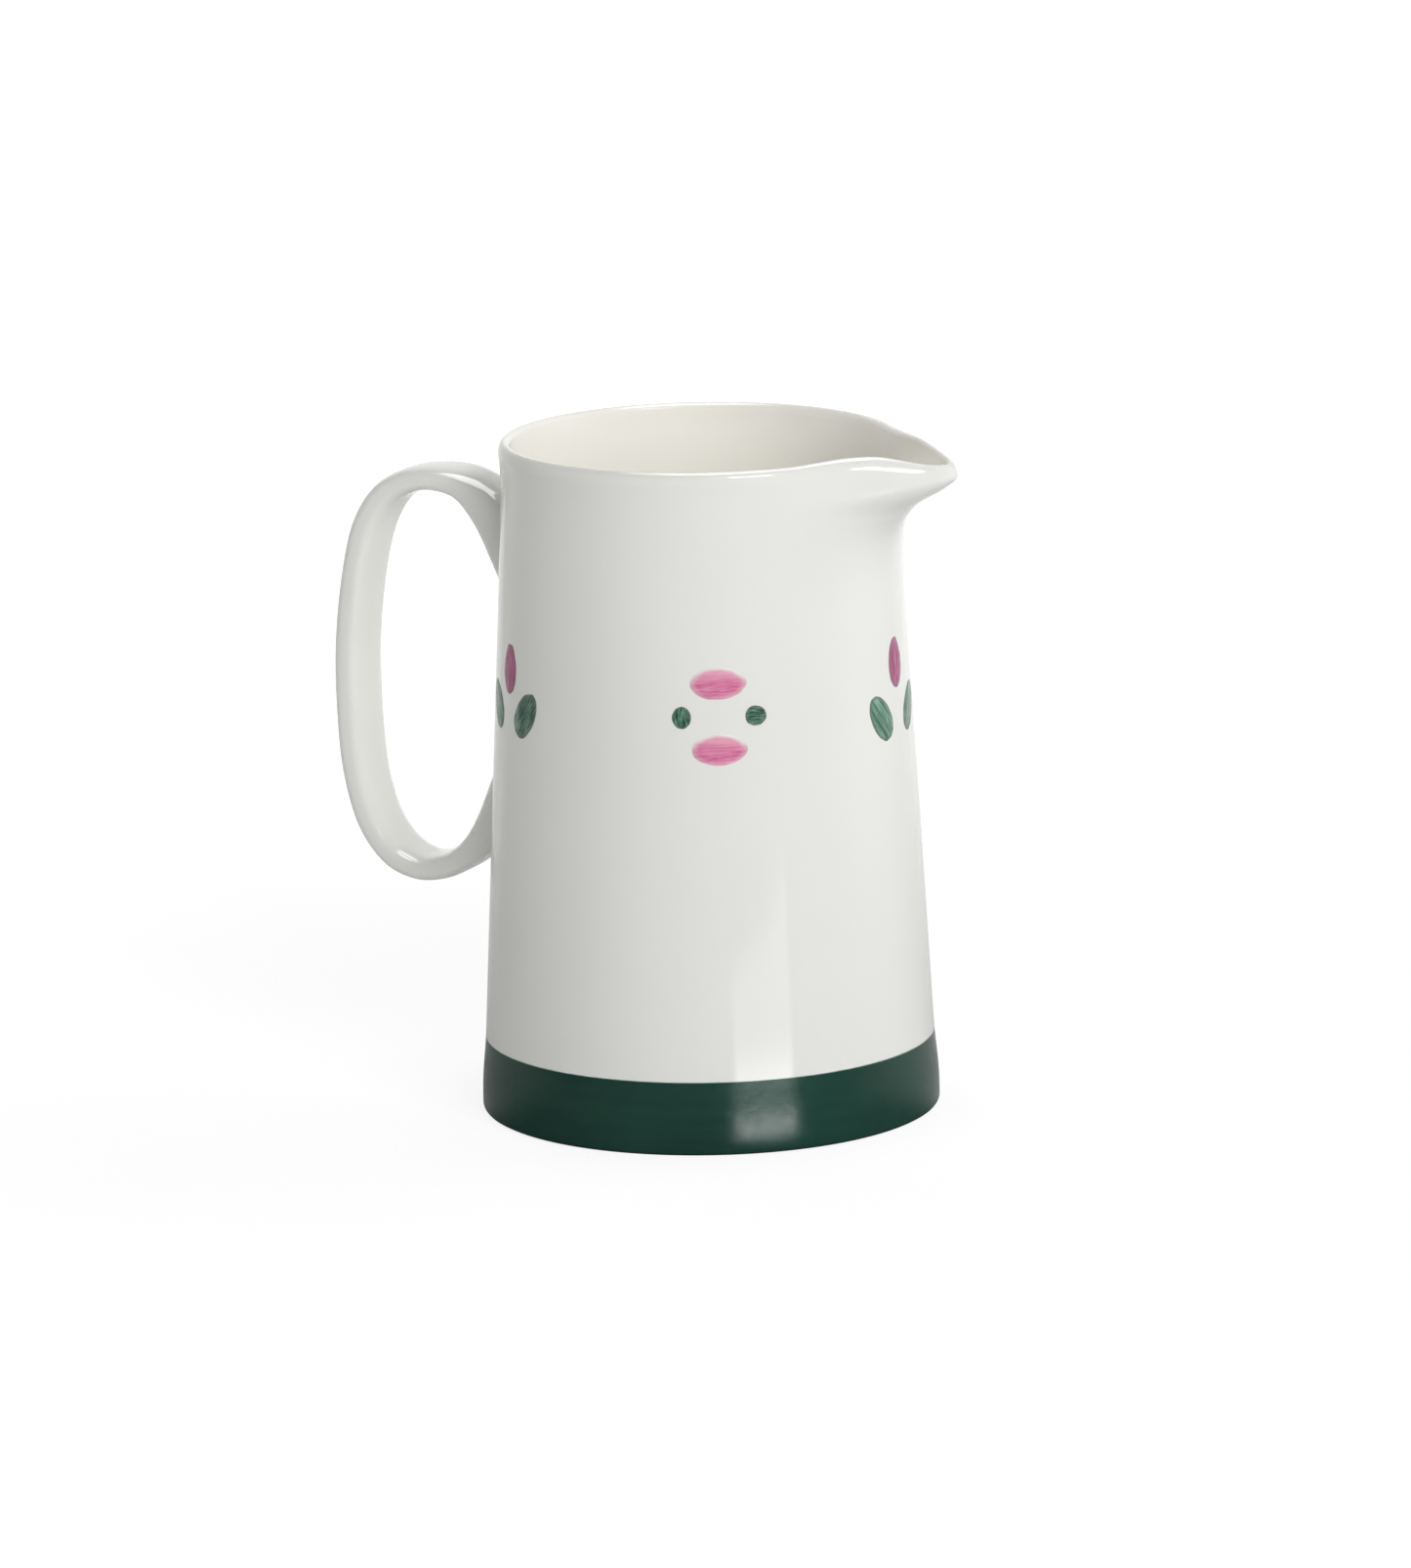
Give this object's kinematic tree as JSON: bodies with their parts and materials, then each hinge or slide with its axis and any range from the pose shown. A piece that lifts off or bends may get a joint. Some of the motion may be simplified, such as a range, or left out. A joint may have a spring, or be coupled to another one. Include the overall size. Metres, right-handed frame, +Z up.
{
  "type": "cream jug",
  "caption": "straight-sided tapered porcelain cream jug with a pulled pouring lip, a loop strap handle, a dark green foot band and painted flower strokes",
  "frame": {"origin": "the middle of the foot ring, on the plane that the jug stands on", "axes": "+Z up out of the mouth, +X along the pouring lip, the handle along -X, +Y to the left of the lip"},
  "size_m": [0.1216, 0.0812, 0.1211],
  "materials": {
    "biscuit_clay": "unglazed fired clay, matt, seen only on the foot ring",
    "white_glaze": "cool white gloss glaze",
    "ivory_lining": "warm ivory gloss glaze",
    "green_band": "dark green satin glaze",
    "handle_glaze": "cool white gloss glaze",
    "slip_joint": "fired slip under the same white glaze",
    "magenta_stroke": "magenta brush stroke, streaky, under a gloss",
    "pink_stroke": "pink brush stroke, streaky, under a gloss",
    "green_stroke": "green brush stroke, streaky, under a gloss"
  },
  "bodies": {
    "root": {"body_casting": "biscuit_clay", "outer_glaze": "white_glaze", "inner_glaze": "ivory_lining", "base_band": "green_band", "handle": "handle_glaze", "upper_handle_joint": "slip_joint", "lower_handle_joint": "slip_joint", "flower_petals": "magenta_stroke", "flower_leaves": "green_stroke", "pink_dabs": "pink_stroke", "green_dots": "green_stroke"}
  },
  "joints": []
}
